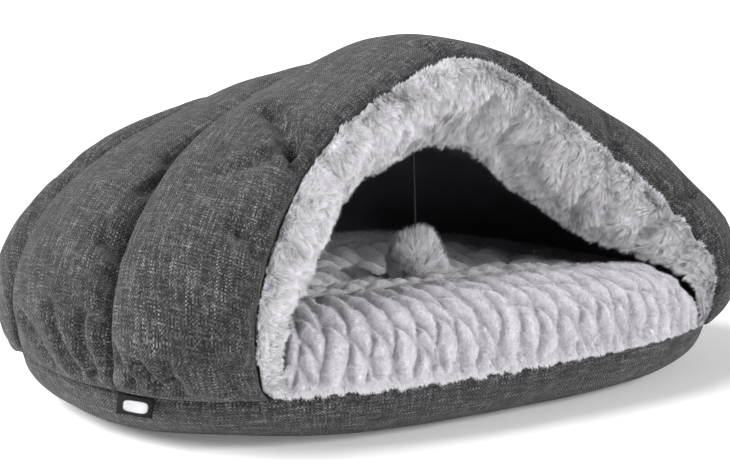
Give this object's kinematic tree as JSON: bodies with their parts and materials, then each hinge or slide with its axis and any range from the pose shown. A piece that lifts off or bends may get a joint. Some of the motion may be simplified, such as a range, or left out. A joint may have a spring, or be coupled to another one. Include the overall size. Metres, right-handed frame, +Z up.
{
  "type": "cat cave",
  "caption": "Slipper-shaped cat cave: stuffed oval cushion with a hood of three padded panels, plush mouth roll, ribbed plush top and a pompom toy on elastic.",
  "frame": {"origin": "on the floor, in the middle of the bed's bounding box", "axes": "+X to the right as one faces the mouth, along the bed's length; +Y from the mouth to the back; +Z up"},
  "size_m": [0.6464, 0.4272, 0.2996],
  "materials": {
    "woven": "heathered charcoal plain weave, matte",
    "plush": "light grey embossed plush, short soft pile",
    "lining": "smooth dark lining cloth, matte",
    "elastic": "black covered elastic cord",
    "label": "black woven tape with a bare silver patch"
  },
  "bodies": {
    "root": {"base_cushion": "woven", "plush_pad": "plush", "hood_front_panel": "woven", "hood_middle_panel": "woven", "hood_back_panel": "woven", "hood_lining": "lining", "mouth_collar": "plush", "toy_cord": "elastic", "toy_pompom": "plush", "side_label": "label"}
  },
  "joints": []
}
